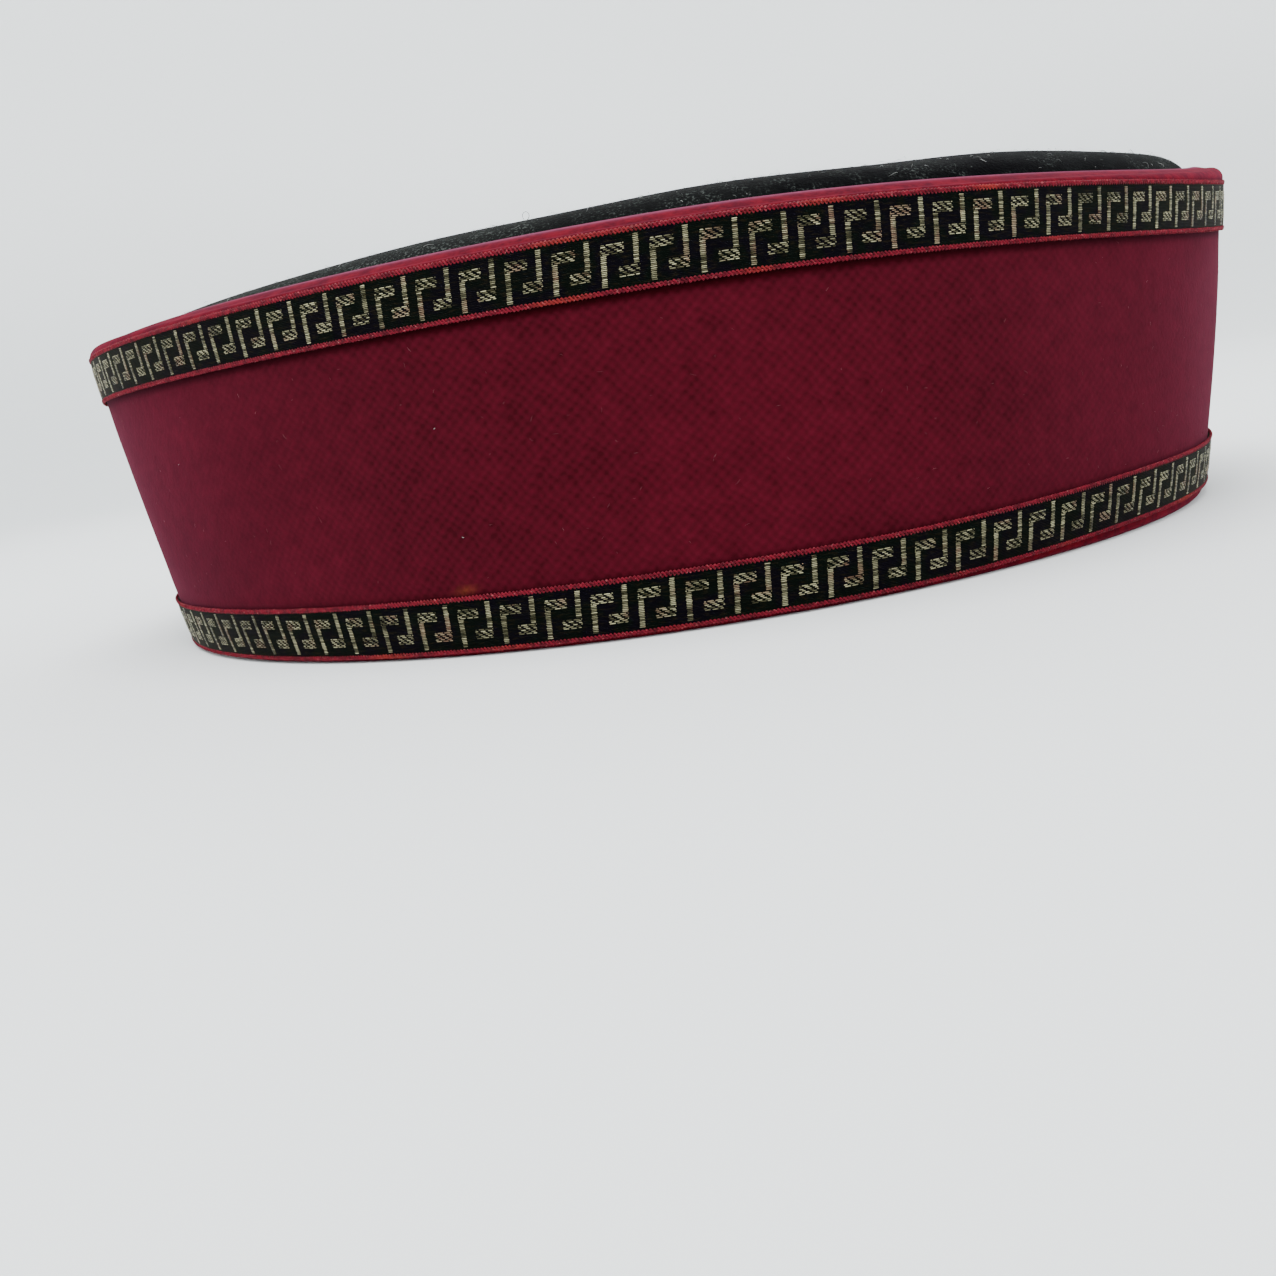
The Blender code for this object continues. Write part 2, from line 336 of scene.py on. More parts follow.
def groundFinish():
    # Black threads that lie along the ribbon, in greenish and bluish patches, with olive flecks
    look = {
        "green": (0.0006, 0.0018, 0.0010), "navy": (0.0010, 0.0006, 0.0020),
        "olive": (0.0085, 0.0062, 0.0026), "cloudScale": 260.0, "fleckScale": (900.0, 3200.0, 1.0),
        "threadPitch": 0.00023, "threadDepth": 0.00007,
    }
    cloth = Finish("black woven ground", Roughness=0.8, Sheen_Weight=0.045, Sheen_Roughness=0.32,
                   Sheen_Tint=(1.0, 0.92, 0.72), Specular_IOR_Level=0.03)
    up = cloth.apart(cloth.mapPlace())[1]
    threads = cloth.maths("SINE", up * (2 * math.pi / look["threadPitch"])) * 0.5 + 0.5
    clouds = cloth.noise(cloth.objectPlace(), look["cloudScale"], 2.0)
    flecks = cloth.noise(cloth.stretch(cloth.mapPlace(), look["fleckScale"]), 1.0, 2.0)
    color = cloth.blend(cloth.step(clouds, 0.42, 0.58), look["green"], look["navy"])
    color = cloth.blend(cloth.step(flecks, 0.50, 0.75) * 0.8, color, look["olive"])
    return cloth.paint(Base_Color=color, Normal=cloth.bump(threads + flecks, look["threadDepth"], 0.7))


def goldFinish():
    # Each float has its own tone, varied by fine and slow clouds, and some stretches are rosy
    look = {
        "dull": (0.034, 0.031, 0.010), "bright": (0.42, 0.395, 0.235), "rosy": (0.24, 0.12, 0.08),
        "fineScale": 420.0, "slowScale": 45.0, "rosyScale": 310.0,
    }
    cloth = Finish("silvery gold thread", Roughness=0.38, Metallic=0.50, Specular_IOR_Level=0.4)
    place = cloth.objectPlace()
    fine, slow = cloth.noise(place, look["fineScale"], 2.0), cloth.noise(place, look["slowScale"], 1.0)
    tone = cloth.share("tone") * 1.1 + fine + slow * 0.8 - 1.08
    color = cloth.blend(cloth.maths("ADD", tone, 0.0, True), look["dull"], look["bright"])
    rosy = cloth.step(cloth.noise(place, look["rosyScale"], 1.0), 0.54, 0.70) * 0.5
    return cloth.paint(Base_Color=cloth.blend(rosy, color, look["rosy"]))


def scarletFinish():
    # Grainy red thread with orange stretches and small pale glints
    look = {
        "deep": (0.055, 0.0012, 0.0060), "bright": (0.145, 0.0042, 0.014), "orange": (0.21, 0.020, 0.012),
        "glint": (0.40, 0.13, 0.13), "grainScale": 1400.0, "orangeScale": 70.0, "glintScale": 3100.0,
        "glintShare": 0.45,
    }
    cloth = Finish("scarlet edge loops", Roughness=0.7, Sheen_Weight=0.02, Sheen_Roughness=0.4,
                   Sheen_Tint=(1.0, 0.4, 0.5), Specular_IOR_Level=0.12)
    place = cloth.objectPlace()
    grain = cloth.noise(place, look["grainScale"], 2.0)
    color = cloth.blend(cloth.step(grain, 0.30, 0.66), look["deep"], look["bright"])
    patches = cloth.step(cloth.noise(place, look["orangeScale"], 1.0), 0.58, 0.76) * grain
    color = cloth.blend(patches, color, look["orange"])
    glints = cloth.step(cloth.noise(place, look["glintScale"], 1.0), 0.62, 0.76) * look["glintShare"]
    return cloth.paint(Base_Color=cloth.blend(glints, color, look["glint"]))


def lintFinish():
    # Each fibre is one grey between dim and pale
    look = {"dim": (0.028, 0.030, 0.028), "pale": (0.42, 0.43, 0.41)}
    cloth = Finish("grey lint", Roughness=0.9)
    return cloth.paint(Base_Color=cloth.blend(cloth.share("tone"), look["dim"], look["pale"]))


def fluffFinish():
    # Each fibre is one tone between dim crimson and pale pink
    look = {"dim": (0.075, 0.004, 0.011), "pale": (0.30, 0.13, 0.15)}
    cloth = Finish("loose crimson pile", Roughness=0.9)
    return cloth.paint(Base_Color=cloth.blend(cloth.share("tone"), look["dim"], look["pale"]))


velour, velvet, ground = velourFinish(), velvetFinish(), groundFinish()
gold, scarlet, lint, fluff = goldFinish(), scarletFinish(), lintFinish(), fluffFinish()
print("finishes made")


# Side wall: one closed skin, turned over at the rim into the margin, with a soft rolled foot

wall = {
    "columns": 640, "thickness": 0.0024, "rimRound": 0.0013, "marginWidth": 0.0060, "marginRise": 0.0016,
    "marginThickness": 0.0014, "hemRound": 0.0009, "nearRim": 0.0035,
    "points": {"outside": 52, "nearRim": 12, "quarter": 8, "margin": 16, "lip": 10, "under": 6, "inside": 16},
    "unevenness": 0.00022, "evenBelow": 0.2, "evenAbove": 0.8, "evenFade": 0.15,
    "weltHang": 0.0006, "weltHangFront": 0.0005, "weltDrop": 0.0011, "weltHalf": 0.0012, "weltFrom": 0.45,
    "weltTo": 0.80, "frontNarrow": 0.0023, "frontPlump": 0.0013, "backPlump": 0.0015,
    "crestInset": 0.0046, "crestWidth": 0.0009, "dotsEnd": 0.088, "dotsFade": 0.050, "dotsLeast": 0.25,
    "smudge": {"x": -0.0333, "height": 0.0095, "halfWidth": 0.0013, "halfHeight": 0.0004},
    "tolerance": 1e-9,
}


def marginTop(inset):
    # The margin's upper side rises inwards as a quarter of a sine
    share = np.clip((inset - wall["rimRound"]) / (wall["marginWidth"] - wall["rimRound"]), 0, 1)
    return form["rimHeight"] + wall["marginRise"] * np.sin(share * math.pi / 2)


def narrowed(facing, inset):
    # The margin's inner part lies further out at the front's tip, by the sixth power of the cosine
    share = np.clip((inset - wall["thickness"]) / (wall["marginWidth"] - wall["thickness"]), 0, 1)
    return inset - wall["frontNarrow"] * np.maximum(np.cos(facing), 0) ** 6 * share


def wallSection():
    # Heights and insets round the wall's section: up the outside, over the rim's quarter round, in
    # along the margin, round its lip, back under it, down the inside and round the foot
    rim, hem, lip = wall["rimRound"], wall["hemRound"], wall["marginThickness"] / 2
    straight, lipStart = form["rimHeight"] - rim, wall["marginWidth"] - lip
    count, nearRim = wall["points"], straight - wall["nearRim"]
    quarter = np.linspace(0, math.pi / 2, count["quarter"])
    outside = np.concatenate([np.linspace(hem, nearRim, count["outside"]),
                              np.linspace(nearRim, straight, count["nearRim"])[1:]])
    inwards = np.linspace(rim, lipStart, count["margin"])[1:]
    lipTurn = np.linspace(0, math.pi, count["lip"])[1:-1]
    under = np.linspace(lipStart, wall["thickness"], count["under"])
    down = np.linspace(1, 0, count["inside"])[1:-1]
    innerTop = float(marginTop(np.array(wall["thickness"]))) - wall["marginThickness"]
    lipMiddle = float(marginTop(np.array(lipStart))) - lip
    heights = [outside, straight + rim * np.sin(quarter[1:]), marginTop(inwards),
               lipMiddle + lip * np.cos(lipTurn), marginTop(under) - wall["marginThickness"],
               hem + (innerTop - hem) * down, hem * (1 - np.sin(quarter)), hem * (1 - np.cos(quarter[:-1]))]
    insets = [0 * outside, rim * (1 - np.cos(quarter[1:])), inwards,
              lipStart + lip * np.sin(lipTurn), under, 0 * down + wall["thickness"],
              wall["thickness"] - hem * (1 - np.cos(quarter)), hem * (1 - np.sin(quarter[:-1]))]
    return np.concatenate(heights), np.concatenate(insets)


def unevenness(facing, height):
    # Slow swells of the stiff cloth between the two ribbons: three crossed waves, fading to the ribbons
    share = np.clip(height / form["rimHeight"], 0, 1)
    away = np.minimum(share - wall["evenBelow"], wall["evenAbove"] - share)
    fade = np.clip(away / wall["evenFade"], 0, 1)
    waves = np.sin(5 * facing + 3 * share) + 0.7 * np.sin(9 * facing - 5 * share + 1)
    waves = waves + 0.5 * np.sin(17 * facing + 2)
    return wall["unevenness"] * fade * fade * (3 - 2 * fade) * waves


def weltHang(facing, height):
    # Towards both ends the rolled rim hangs out over the ribbon's upper edge, as a bell curve of height
    along = planOutline(facing, form["rim"])[..., 0] / (form["rim"]["length"] / 2)
    share = np.clip((np.abs(along) - wall["weltFrom"]) / (wall["weltTo"] - wall["weltFrom"]), 0, 1)
    away = (height - form["rimHeight"] + wall["weltDrop"]) / wall["weltHalf"]
    most = np.where(along > 0, wall["weltHangFront"], wall["weltHang"])
    return most * share * share * (3 - 2 * share) * np.exp(-away ** 2)


def plumpEnds(facing, height, inset):
    # At both tips the rolled rim stands nearly as high as the margin's inner part
    straight = form["rimHeight"] - wall["rimRound"]
    share = np.clip((inset - wall["rimRound"]) / (wall["marginWidth"] - wall["rimRound"]), 0, 1)
    ends = wall["frontPlump"] * np.maximum(np.cos(facing), 0) ** 6
    ends = ends + wall["backPlump"] * np.minimum(np.cos(facing), 0) ** 4
    return ends * (1 - share) ** 2 * np.clip((height - straight) / wall["rimRound"], 0, 1)


def mapWall(piece, facing, heights, insets):
    # Metres round the cap half way up, and metres along the section
    steps = np.hypot(np.diff(heights, append=heights[0]), np.diff(insets, append=insets[0]))
    up = np.cumsum(steps) - steps
    middle = capPoint(facing, 0.5 * form["rimHeight"], 0.0)
    around = np.linalg.norm(np.roll(middle, -1, axis=0) - middle, axis=1)
    around = np.cumsum(around) - around
    giveMap(piece, np.stack(np.broadcast_arrays(around[None, :], up[:, None]), axis=-1))


def makeWall():
    # The outside swells, its rim hangs out at both ends, and the shares say where its finish changes
    heights, insets = wallSection()
    facing = np.linspace(-math.pi, math.pi, wall["columns"], endpoint=False)
    turn, height, inset = facing[None, :], heights[:, None], insets[:, None]
    outer = inset < wall["tolerance"]
    swell = unevenness(turn, height) * outer
    swell += weltHang(turn, height) * (inset < wall["rimRound"] + wall["tolerance"])
    points = capPoint(turn, height + plumpEnds(turn, height, inset), narrowed(turn, inset) - swell)
    piece = makePiece("wall_cloth", points, [gridFaces(len(heights), len(facing), True, True)], velour,
                      "side_wall")
    mapWall(piece, facing, heights, insets)
    onMargin = heights > form["rimHeight"] - wall["rimRound"]
    # Where the painted sheen, with some worn pile, runs along the margin's crest
    sheenWearCrest = np.exp(-(((insets - wall["crestInset"]) / wall["crestWidth"]) ** 2)) * onMargin
    smudge = wall["smudge"]
    away = ((points[..., 0] - smudge["x"]) / smudge["halfWidth"]) ** 2
    away = away + ((points[..., 2] - smudge["height"]) / smudge["halfHeight"]) ** 2
    level = np.broadcast_to(height, points.shape[:2])
    upperEdge = lowerEdge(trims["upper"], facing)
    lowerTop = lowerEdge(trims["lower"], facing) + ribbon["width"]
    hem = level < lowerTop - ribbon["width"] / 2
    dotted = (wall["dotsEnd"] - np.abs(points[..., 0])) / wall["dotsFade"]
    giveShare(piece, "dotted", np.clip(dotted, wall["dotsLeast"], 1))
    giveShare(piece, "sheenWearCrest", np.broadcast_to(sheenWearCrest[:, None], points.shape[:2]))
    giveShare(piece, "margin", np.maximum(onMargin[:, None], hem))
    # These two distances place the painted shade along both ribbons
    giveShare(piece, "belowUpper", np.where(level > upperEdge + ribbon["width"] / 2, 1.0, upperEdge - level))
    giveShare(piece, "aboveLower", np.where(hem, 1.0, level - lowerTop))
    giveShare(piece, "smudge", np.exp(-away) * (points[..., 1] < 0) * outer)


makeWall()


# Crown: a closed dome-shaped cloth, tucked in under the margin

crown = {
    "columns": 480, "rings": 76, "ringsCloser": 1.6, "tuckRings": 5, "innerStep": 3,
    "rise": 0.0105, "peakForward": 0.0178, "thickness": 0.0020, "seamGap": 0.0001, "clearance": 0.0003,
    "back": 1.9, "side": 2.4, "front": 5.0, "rollShare": 0.36, "rollLessBack": 0.115, "roll": 38.0,
    "unevenness": 0.00025,
    "greyBack": -0.065, "greyNone": 0.050, "greyFront": 0.140, "greyPower": 1.6,
}


def crownSeam(facing):
    # Height of the seam under the margin's lip, and its points
    under = wall["marginThickness"] + crown["clearance"]
    level = float(marginTop(np.array(wall["marginWidth"]))) - under
    return level, capPoint(facing, level, narrowed(facing, wall["marginWidth"]) + crown["seamGap"])


def domePoint(facing, share):
    # From the peak to the seam, a point's plan goes by its share of the way, and its fall is a power
    # of that share, larger to the front and less to the back, with a part that rolls over steeply at
    # the seam; a swell of crossed waves in x and y, which fades at the seam, is added to its height
    level, seam = crownSeam(facing)
    peak = np.array([crown["peakForward"], 0.0, level + crown["rise"]])
    front, back = np.maximum(np.cos(facing), 0) ** 2, np.minimum(np.cos(facing), 0) ** 2
    power = crown["side"] + (crown["front"] - crown["side"]) * front + (crown["back"] - crown["side"]) * back
    rollShare = crown["rollShare"] - crown["rollLessBack"] * np.sqrt(back)
    fall = (1 - rollShare) * share ** power + rollShare * share ** crown["roll"]
    points = peak + (seam - peak) * share[..., None]
    points[..., 2] = peak[2] + (seam[..., 2] - peak[2]) * fall
    x, y = points[..., 0], points[..., 1]
    swell = np.sin(x * 62 + 1) * np.sin(y * 71 + 2) + 0.6 * np.sin(x * 140)
    points[..., 2] += crown["unevenness"] * swell * (1 - share ** 8)
    return points


def makeCrown():
    # Rings from the peak to the seam and on under the margin, then back on the inside, fewer of them
    facing = np.linspace(-math.pi, math.pi, crown["columns"], endpoint=False)
    shares = 1 - (1 - np.linspace(0, 1, crown["rings"])[1:]) ** crown["ringsCloser"]
    dome = domePoint(facing[None, :], np.broadcast_to(shares[:, None], (len(shares), len(facing))))
    under = wall["marginThickness"] + crown["clearance"]
    tuck = np.linspace(wall["marginWidth"], wall["thickness"] + crown["clearance"], crown["tuckRings"])[1:]
    tuckTop = (marginTop(tuck) - under)[:, None]
    edge = capPoint(facing[None, :], tuckTop, narrowed(facing[None, :], tuck[:, None]))
    top = np.concatenate([dome, edge])
    low = (top - (0, 0, crown["thickness"]))[::-1][::crown["innerStep"]]
    rings = np.concatenate([top, low])
    peak = domePoint(np.zeros(1), np.zeros(1))[0]
    points = np.concatenate([rings.reshape(-1, 3), [peak], [peak - (0, 0, crown["thickness"])]])
    count, columns = len(rings), len(facing)
    first = np.arange(columns)
    last = first + (count - 1) * columns
    upper = np.stack([np.full(columns, count * columns), np.roll(first, -1), first], axis=-1)
    lower = np.stack([np.full(columns, count * columns + 1), last, np.roll(last, -1)], axis=-1)
    sides = gridFaces(count, columns, False, True)
    piece = makePiece("crown_cloth", points, [sides, upper, lower], velvet, "crown")
    # The greyer share grows from a line forward of the middle towards the back and, more slowly, towards the
    # front
    x, none = points[:, 0], crown["greyNone"]
    greyerToEnds = np.where(x < none, (none - x) / (none - crown["greyBack"]),
                       (x - none) / (crown["greyFront"] - none))
    giveShare(piece, "greyerToEnds", np.clip(greyerToEnds, 0, 1) ** crown["greyPower"])


makeCrown()


# Ribbons: a woven ground, gold floats that draw the key pattern, and a row of loops along each edge

def trimPoint(trim, facing, up, out):
    # A point of a ribbon: so far up from its lower edge, and so far out from the wall
    return capPoint(facing, lowerEdge(trim, facing) + up, -out)


def measureTrim(trim):
    # Length along the ribbon's middle against facing, counted from the middle of the cap's near side
    facing = np.linspace(-math.pi, math.pi, ribbon["rulerPoints"])
    points = trimPoint(trim, facing, ribbon["width"] / 2, ribbon["face"])
    length = np.concatenate([[0], np.cumsum(np.linalg.norm(np.diff(points, axis=0), axis=1))])
    trim["length"] = length[-1]
    trim["ruler"] = (length - length[-1] / 4, facing)


def facingAt(trim, along):
    # The facing at a length along the ribbon, which may run past its end
    start, whole = trim["ruler"][0][0], trim["length"]
    return np.interp((along - start) % whole + start, *trim["ruler"])


def makeGround(name, trim):
    # The section's face is a shallow arch between two shoulders, which the edge loops hide
    width, back, face = ribbon["width"], ribbon["back"], ribbon["face"]
    side = ribbon["edge"] * ribbon["groundFrom"]
    tuck, shoulder = side * ribbon["groundTuck"], face - ribbon["groundShoulder"]
    share = np.linspace(0, 1, ribbon["rows"])
    up = np.concatenate([side + (width - 2 * side) * share, [width - tuck, width - tuck, tuck, tuck]])
    arch = face + ribbon["crowning"] * np.sin(share * math.pi)
    out = np.concatenate([arch, [shoulder, back, back, shoulder]])
    facing = np.linspace(-math.pi, math.pi, ribbon["columns"], endpoint=False)
    points = trimPoint(trim, facing[None, :], up[:, None], out[:, None])
    piece = makePiece(name + "_ribbon_ground", points, [gridFaces(len(up), len(facing), True, True)], ground,
                      trim["node"])
    around = np.linspace(0, trim["length"], len(facing), endpoint=False)
    giveMap(piece, np.stack(np.broadcast_arrays(around[None, :], up[:, None]), axis=-1))


key = {
    "hook": {"left": 0.006, "right": 0.515, "stem": (0.006, 0.144),
             "top": 0.165, "bottom": 0.375, "end": 0.955},
    "foot": {"left": 0.358, "right": 0.808, "stem": (0.674, 0.808),
             "top": 0.040, "bottom": 0.815, "start": 0.605},
    "stripePitch": 0.00108, "stripeWidth": 0.00040, "stripeThin": 0.25, "stripeSlope": 1.45,
    "hookShift": -0.00030, "footShift": -0.00055, "footStem": 0.741, "rounding": 0.00010,
    "shortest": 0.00014, "tip": 0.00012, "tipShare": 0.3, "sunk": 0.00003,
    "endScatter": 0.000028, "rowScatter": 0.000012, "heightScatter": (0.75, 1.25), "tones": (0.52, 0.30),
}


def roundedRows(left, right, depths, corners):
    # Rows from left to right at each depth, with the named corners cut by a quarter circle
    radius = key["rounding"]

    def cut(distance):
        return radius * (1 - np.sqrt(1 - np.clip(1 - distance / radius, 0, 1) ** 2))

    fromTop, fromBottom = cut(depths - depths[0]), cut(depths[-1] - depths)
    starts = left + ("top left" in corners) * fromTop + ("bottom left" in corners) * fromBottom
    ends = right - ("top right" in corners) * fromTop - ("bottom right" in corners) * fromBottom
    return np.stack([starts, ends, depths], axis=-1)


def stripedRows(rows, shift):
    # Each row is broken where slanting dark stripes cross it, thin at the block's top and bottom
    low, high, depths = rows[:, :1], rows[:, 1:2], rows[:, 2:]
    across = np.sin((depths - depths[0]) / (depths[-1] - depths[0]) * math.pi)
    width = key["stripeWidth"] * (key["stripeThin"] + (1 - key["stripeThin"]) * across)
    stripes = np.arange(-4, 8)
    starts = rows[:, 0].min() + shift + stripes * key["stripePitch"]
    starts = starts + key["stripeSlope"] * (depths - depths[0])
    ends = starts + key["stripePitch"] - width
    starts, ends = np.clip(starts, low, high), np.clip(ends, low, high)
    kept = ends - starts > key["shortest"]
    return np.stack([starts[kept], ends[kept], np.broadcast_to(depths, starts.shape)[kept]], axis=-1)


def oneKey(pitch, black):
    # Thread floats of one repeat as rows of start, end and depth below the black's upper edge
    step = ribbon["threadPitch"]
    hook, foot = key["hook"], key["foot"]

    def depths(top, bottom):
        return np.arange(top * black + step / 2, bottom * black, step)

    arm = roundedRows(hook["left"] * pitch, hook["right"] * pitch, depths(hook["top"], hook["bottom"]),
                      ("top left", "top right", "bottom right"))
    leg = roundedRows(*(side * pitch for side in hook["stem"]), depths(hook["bottom"], hook["end"]), ())
    post = roundedRows(*(side * pitch for side in foot["stem"]), depths(foot["top"], foot["start"]), ())
    toe = roundedRows(foot["left"] * pitch, foot["right"] * pitch, depths(foot["start"], foot["bottom"]),
                      ("top left", "bottom left", "bottom right"))
    return np.concatenate([stripedRows(arm, key["hookShift"]), leg, post, stripedRows(toe, key["footShift"])])


def makeKeys(name, trim):
    # Each float is a low ridge with two pointed ends: a tip, two rings of three points and a tip
    black = ribbon["width"] - 2 * ribbon["keyEdge"]
    pitch = trim["length"] / trim["repeats"]
    one = oneKey(pitch, black)
    starts = trim["phase"] - key["footStem"] * pitch + np.arange(trim["repeats"]) * pitch
    floats = np.tile(one, (trim["repeats"], 1))
    count = len(floats)
    floats[:, :2] += np.repeat(starts, len(one))[:, None]
    floats[:, 0] += dice.normal(0, key["endScatter"], count)
    floats[:, 1] += dice.normal(0, key["endScatter"], count)
    start, end = floats[:, 0], floats[:, 1]
    up = ribbon["keyEdge"] + black - floats[:, 2] + dice.normal(0, key["rowScatter"], count)
    height = ribbon["threadHeight"] * dice.uniform(*key["heightScatter"], count)
    tip = np.minimum(key["tip"], (end - start) * key["tipShare"])
    archShare = np.clip((up - ribbon["keyEdge"]) / black, 0, 1)
    base = ribbon["face"] + ribbon["crowning"] * np.sin(archShare * math.pi) - key["sunk"]
    along = np.stack([start] + [start + tip] * 3 + [end - tip] * 3 + [end], axis=1)
    rise = np.array([0, -1, 0, 1, -1, 0, 1, 0]) * (ribbon["threadWidth"] / 2)
    swell = np.array([0, 0, 1, 0, 0, 1, 0, 0])
    ups = up[:, None] + rise[None, :]
    outs = base[:, None] + height[:, None] * swell[None, :]
    points = trimPoint(trim, facingAt(trim, along), ups, outs)
    oneFloat = np.array([[0, 1, 2], [0, 2, 3], [1, 4, 5], [1, 5, 2], [2, 5, 6], [2, 6, 3],
                         [4, 7, 5], [5, 7, 6], [0, 3, 1], [1, 3, 6], [1, 6, 4], [4, 6, 7]])
    corners = len(rise)
    faces = (np.arange(count)[:, None, None] * corners + oneFloat[None]).reshape(-1, 3)
    piece = makePiece(name + "_ribbon_keys", points, [faces], gold)
    tones = np.clip(dice.normal(*key["tones"], count), 0, 1)
    giveShare(piece, "tone", np.repeat(tones, corners))


def makeLoops(name, trim):
    # Each edge is a cord of two plies: a ply's middle winds round the edge's line, flatter outwards
    # than along the wall, and a ring of points stands round it. A turn takes two loops, and the number
    # of turns is rounded so that the cord closes; two slow waves make its swing uneven.
    steps = int(round(trim["length"] / ribbon["loopPitch"])) * ribbon["loopSteps"]
    along = np.arange(steps) / steps * trim["length"]
    turn = along / (2 * ribbon["loopPitch"]) * 2 * math.pi
    turn = turn * round(turn[-1] / (2 * math.pi)) * 2 * math.pi / (turn[-1] * steps / (steps - 1))
    around = np.linspace(0, 2 * math.pi, ribbon["plySides"], endpoint=False)
    facing = facingAt(trim, along)
    fast, slow = ribbon["fastSwing"], ribbon["slowSwing"]
    plies, faces = [], []
    for edge in (ribbon["edge"] / 2, ribbon["width"] - ribbon["edge"] / 2):
        for start in (0.0, math.pi):
            wobble = 1 + fast[0] * np.sin(along * fast[1] + start)
            wobble = wobble + slow[0] * np.sin(along * slow[1] + 2 * start)
            up = edge + ribbon["plySwing"] * np.cos(turn + start) * wobble
            out = ribbon["loopOut"] + ribbon["plyDepth"] * np.sin(turn + start)
            ups = up[:, None] + ribbon["plyRound"] * np.cos(around)[None, :]
            outs = out[:, None] + ribbon["plyRound"] * np.sin(around)[None, :]
            faces.append(gridFaces(steps, len(around), True, True) + len(plies) * steps * len(around))
            plies.append(trimPoint(trim, facing[:, None], ups, outs).reshape(-1, 3))
    makePiece(name + "_ribbon_edge_loops", np.concatenate(plies), [np.concatenate(faces)], scarlet)


for name, trim in trims.items():
    measureTrim(trim)
    makeGround(name, trim)
    makeKeys(name, trim)
    makeLoops(name, trim)


# Loose fibres: grey lint on the velvet, crimson pile on the wall and a few pale specks on it

fibres = {
    "crown": {"count": 2600, "radius": 0.000024, "shortest": 0.00025, "longest": 0.0016, "lift": 0.45,
              "reach": 0.98, "turnStep": 0.01, "shareStep": 0.005},
    "wall": {"count": 500, "radius": 0.000018, "shortest": 0.0003, "longest": 0.0009, "lift": 0.10,
             "lowest": 0.0105, "highest": 0.0435, "palest": 0.35},
    "specks": {"radius": 0.000040, "shortest": 0.00025, "longest": 0.00035, "lift": 0.10, "tone": 0.6},
}
fibreForm = {"rings": (0.5, 1, 1, 0.9, 0.3), "leastLift": 0.1, "bend": 0.35, "aside": (0.0, 0.3, 1.0)}
threeSides = np.array([0, 2, 4]) * math.pi / 3
hair = {"radius": 0.00005, "rings": 25, "lean": -0.4}
curls = [
    {"facing": -105.0, "share": 0.92, "round": 0.00060, "sweep": 300.0, "drift": 0.0005, "tone": 0.15},
    {"facing": -74.5, "share": 0.46, "round": 0.00070, "sweep": 220.0, "drift": 0.0010, "tone": 0.9},
]
speckPlaces = [{"facing": -135.6, "height": 0.0319}, {"facing": -110.3, "height": 0.0314},
               {"facing": -109.3, "height": 0.0166}, {"facing": 42.0, "height": 0.0270}]


def strandFaces(count, rings):
    # Faces of so many strands, each of so many rings of three points, closed at both ends
    size = rings * len(threeSides)
    steps = np.arange(count)[:, None, None] * size
    sides = gridFaces(rings, len(threeSides), False, True)
    ends = np.array([[0, 2, 1], [size - 3, size - 2, size - 1]])
    return [(sides[None] + steps).reshape(-1, 4), (ends[None] + steps).reshape(-1, 3)]


def makeFibres(name, look, roots, outward, finish, slot, tones):
    # A fibre bends in an arc from its root: it runs along the cloth, and lifts and falls as half a sine
    count, rings = len(roots), len(fibreForm["rings"])
    turn = dice.uniform(0, 2 * math.pi, count)
    side = np.cross(outward, fibreForm["aside"])
    side /= np.linalg.norm(side, axis=1)[:, None]
    across = np.cross(outward, side)
    heading = side * np.cos(turn)[:, None] + across * np.sin(turn)[:, None]
    bending = np.cross(outward, heading)
    length = look["shortest"] + (look["longest"] - look["shortest"]) * dice.uniform(0, 1, count) ** 2
    lift = dice.uniform(fibreForm["leastLift"], 1, count) * look["lift"] * length
    bend = dice.normal(0, fibreForm["bend"], count) * length
    share = np.linspace(0, 1, rings)
    along = length[:, None] * share
    middle = (roots[:, None] + heading[:, None] * along[..., None]
              + bending[:, None] * (bend[:, None] * share ** 2)[..., None]
              + outward[:, None] * (lift[:, None] * np.sin(share * math.pi) + look["radius"])[..., None])
    radius = look["radius"] * np.array(fibreForm["rings"])
    cos, sin = np.cos(threeSides)[None, :, None], np.sin(threeSides)[None, :, None]
    around = bending[:, None] * cos + outward[:, None] * sin
    points = middle[:, :, None] + around[:, None] * radius[None, :, None, None]
    piece = makePiece(name, points, strandFaces(count, rings), finish)
    giveShare(piece, "tone", np.repeat(tones, rings * len(threeSides)))


def crownFibres():
    # The lint's outward direction is square to two short steps on the dome
    look, count = fibres["crown"], fibres["crown"]["count"]
    facing = dice.uniform(-math.pi, math.pi, count)
    share = np.sqrt(dice.uniform(0.0, look["reach"], count))
    here = domePoint(facing, share)
    nearby = domePoint(facing + look["turnStep"], share) - here
    outer = domePoint(facing, share + look["shareStep"]) - here
    outward = np.cross(outer, nearby)
    outward /= np.linalg.norm(outward, axis=1)[:, None]
    outward *= np.sign(outward[:, 2:])
    tones = dice.uniform(0, 1, count) ** 3
    makeFibres("crown_lint", look, here, outward, lint, "velvet", tones)


def wallRoots(facing, height):
    # Points on the wall's swelling cloth, and the level directions out of it
    outward = np.stack([np.cos(facing), np.sin(facing), 0 * facing], axis=1)
    return capPoint(facing, height, -unevenness(facing, height)), outward


def wallFibres():
    # Crimson fibres scattered between the ribbons, most of them dim, and grey specks at named places
    look, count = fibres["wall"], fibres["wall"]["count"]
    facing = dice.uniform(-math.pi, math.pi, count)
    height = dice.uniform(look["lowest"], look["highest"], count)
    tones = dice.uniform(0, 1, count) ** 3 * look["palest"]
    makeFibres("wall_fluff", look, *wallRoots(facing, height), fluff, "velour", tones)
    look = fibres["specks"]
    facing = np.radians([place["facing"] for place in speckPlaces])
    height = np.array([place["height"] for place in speckPlaces])
    tones = np.full(len(facing), look["tone"])
    makeFibres("wall_specks", look, *wallRoots(facing, height), lint, "velour", tones)


